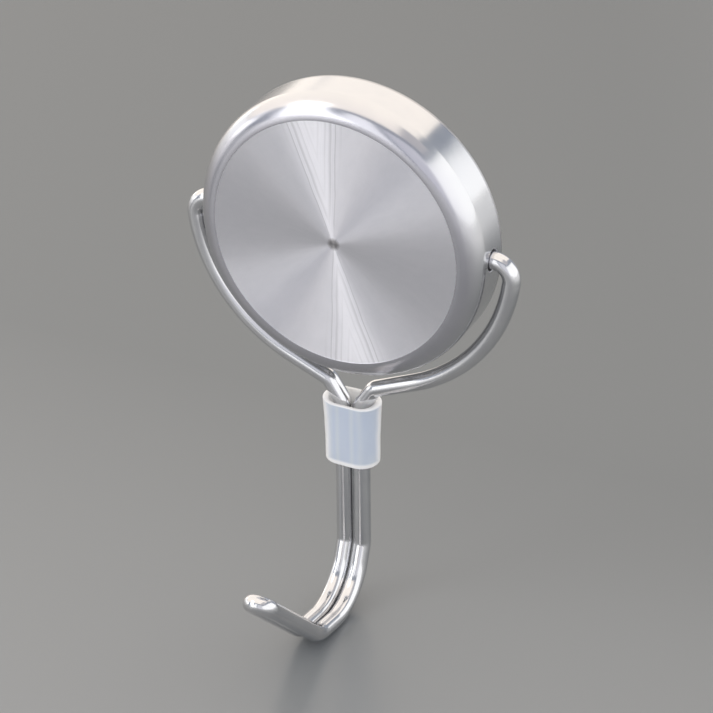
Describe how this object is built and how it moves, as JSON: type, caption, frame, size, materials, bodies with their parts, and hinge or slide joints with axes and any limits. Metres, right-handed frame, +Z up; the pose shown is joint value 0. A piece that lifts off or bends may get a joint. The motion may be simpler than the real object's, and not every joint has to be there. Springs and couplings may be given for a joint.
{
  "type": "magnetic hook",
  "caption": "Round magnet in a drawn steel cup with a doubled wire hook that swings on a hinge through the cup's side wall.",
  "frame": {"origin": "centre of the flat magnetic face, which goes against the steel wall", "axes": "+Y points out of the magnetic face into the wall, -Y is the front that a person sees, +Z is up and the hook hangs along -Z, +X is to the right seen from the front"},
  "size_m": [0.0594, 0.0398, 0.0961],
  "materials": {
    "cup_steel": "satin",
    "back_iron_steel": "satin",
    "magnet_ferrite": "matte",
    "ring_plastic": "matte",
    "wire_steel": "polished",
    "sleeve_plastic": "satin"
  },
  "bodies": {
    "magnet_cup": {"cup": "cup_steel", "back_iron": "back_iron_steel", "magnet": "magnet_ferrite", "spacer_ring": "ring_plastic"},
    "hook": {"hook_wire": "wire_steel", "sleeve": "sleeve_plastic"}
  },
  "joints": [
    {"name": "hook_hinge", "type": "hinge", "parent": "magnet_cup", "child": "hook", "pos_m": [0, -0.00355, 0], "axis": [-1, 0, 0], "continuous": true}
  ]
}
